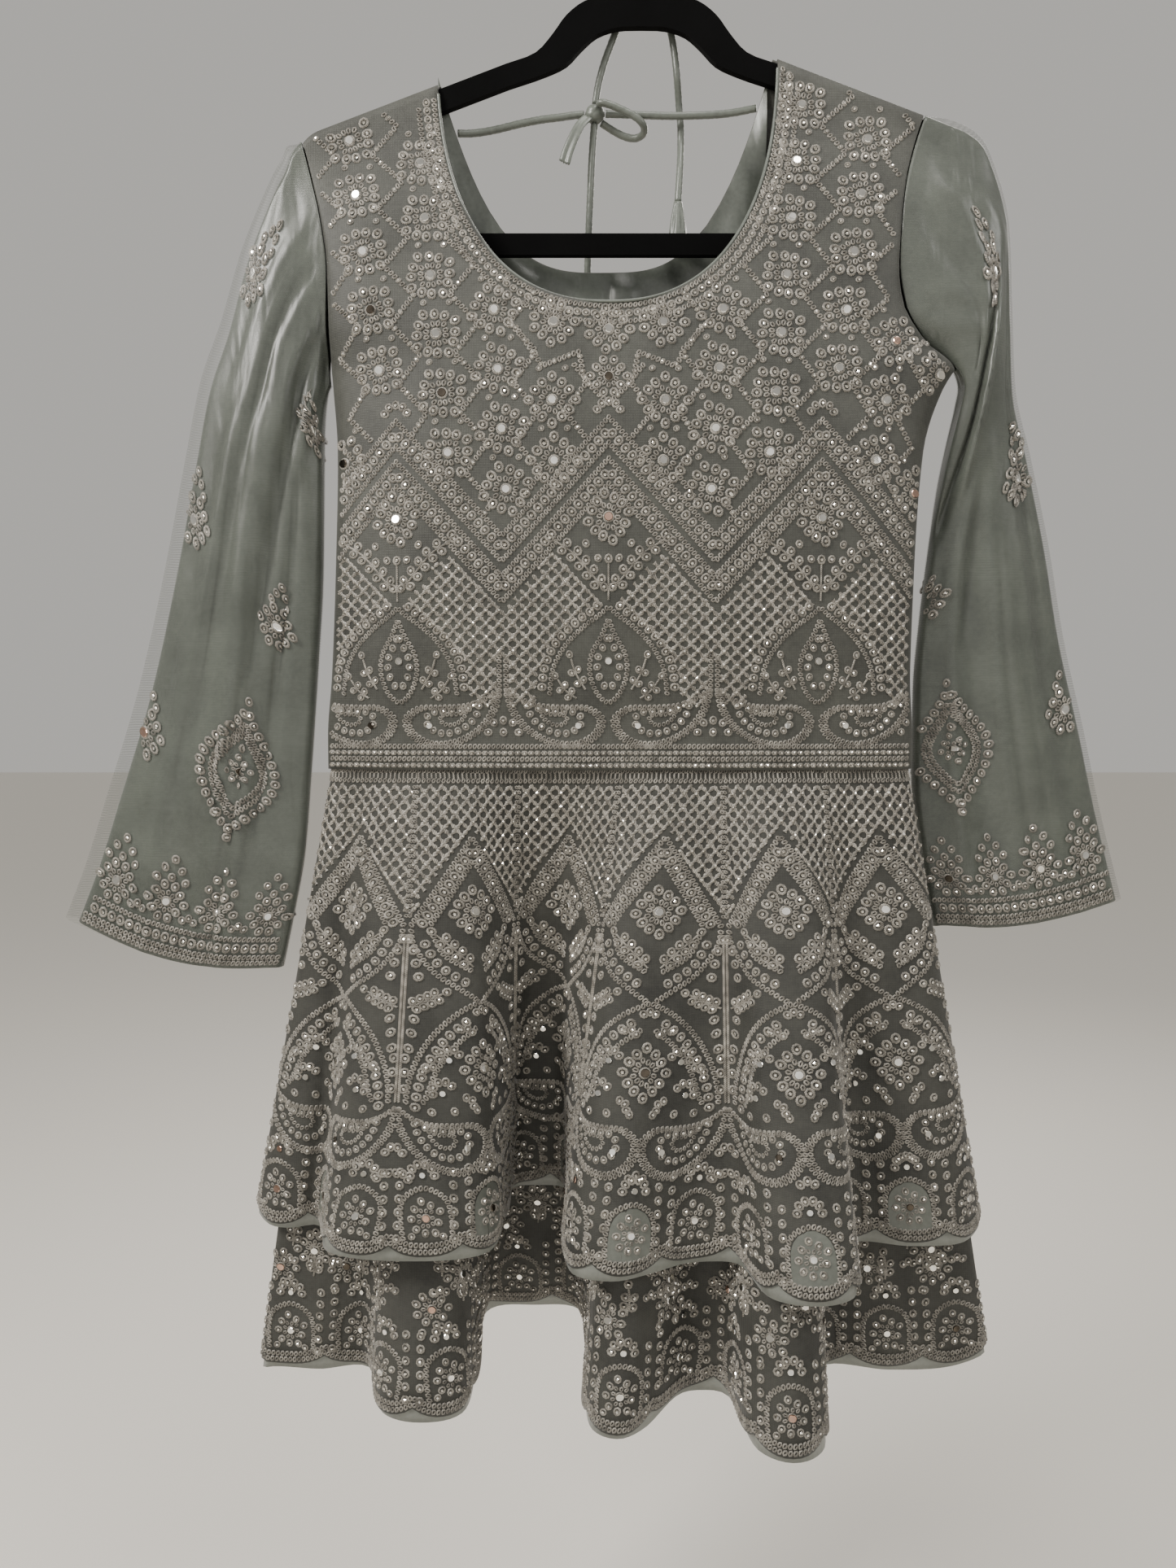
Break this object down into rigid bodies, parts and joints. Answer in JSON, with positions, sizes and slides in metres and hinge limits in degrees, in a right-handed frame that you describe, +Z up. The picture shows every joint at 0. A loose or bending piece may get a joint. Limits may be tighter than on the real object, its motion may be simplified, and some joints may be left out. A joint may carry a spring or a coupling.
{
  "type": "embroidered two-tier peplum top on a hanger",
  "caption": "Long-sleeved embroidered peplum top with a two-tier scalloped skirt and neck ties, hung on a flat velvet hanger.",
  "frame": {"origin": "inner top of the hook's bend, where a rail carries the hanger", "axes": "+X across the garment towards the picture's right, +Y towards the back, +Z up"},
  "size_m": [0.6511, 0.2047, 0.9167],
  "materials": {
    "embroidered_net": "organza over satin, closely embroidered",
    "sleeve_satin": "soft satin under sheer organza",
    "hem_satin": "soft satin",
    "tie_satin": "satin tube",
    "hanger_velvet": "flocked velvet",
    "hook_chrome": "polished"
  },
  "bodies": {
    "root": {"bodice_front": "embroidered_net", "bodice_back": "embroidered_net", "sleeve_left": "sleeve_satin", "sleeve_right": "sleeve_satin", "peplum_upper_front": "embroidered_net", "peplum_upper_back": "embroidered_net", "peplum_lower_front": "embroidered_net", "peplum_lower_back": "embroidered_net", "facing_upper_front": "hem_satin", "facing_upper_back": "hem_satin", "facing_lower_front": "hem_satin", "facing_lower_back": "hem_satin", "hanger_frame": "hanger_velvet", "hanger_hook": "hook_chrome", "tie_left": "tie_satin", "tie_right": "tie_satin", "tie_tail_up": "tie_satin", "tie_tail_down": "tie_satin", "tie_bow": "tie_satin", "tie_cut_end": "tie_satin", "tie_knot": "tie_satin", "tassel_up": "tie_satin", "tassel_down": "tie_satin"}
  },
  "joints": []
}
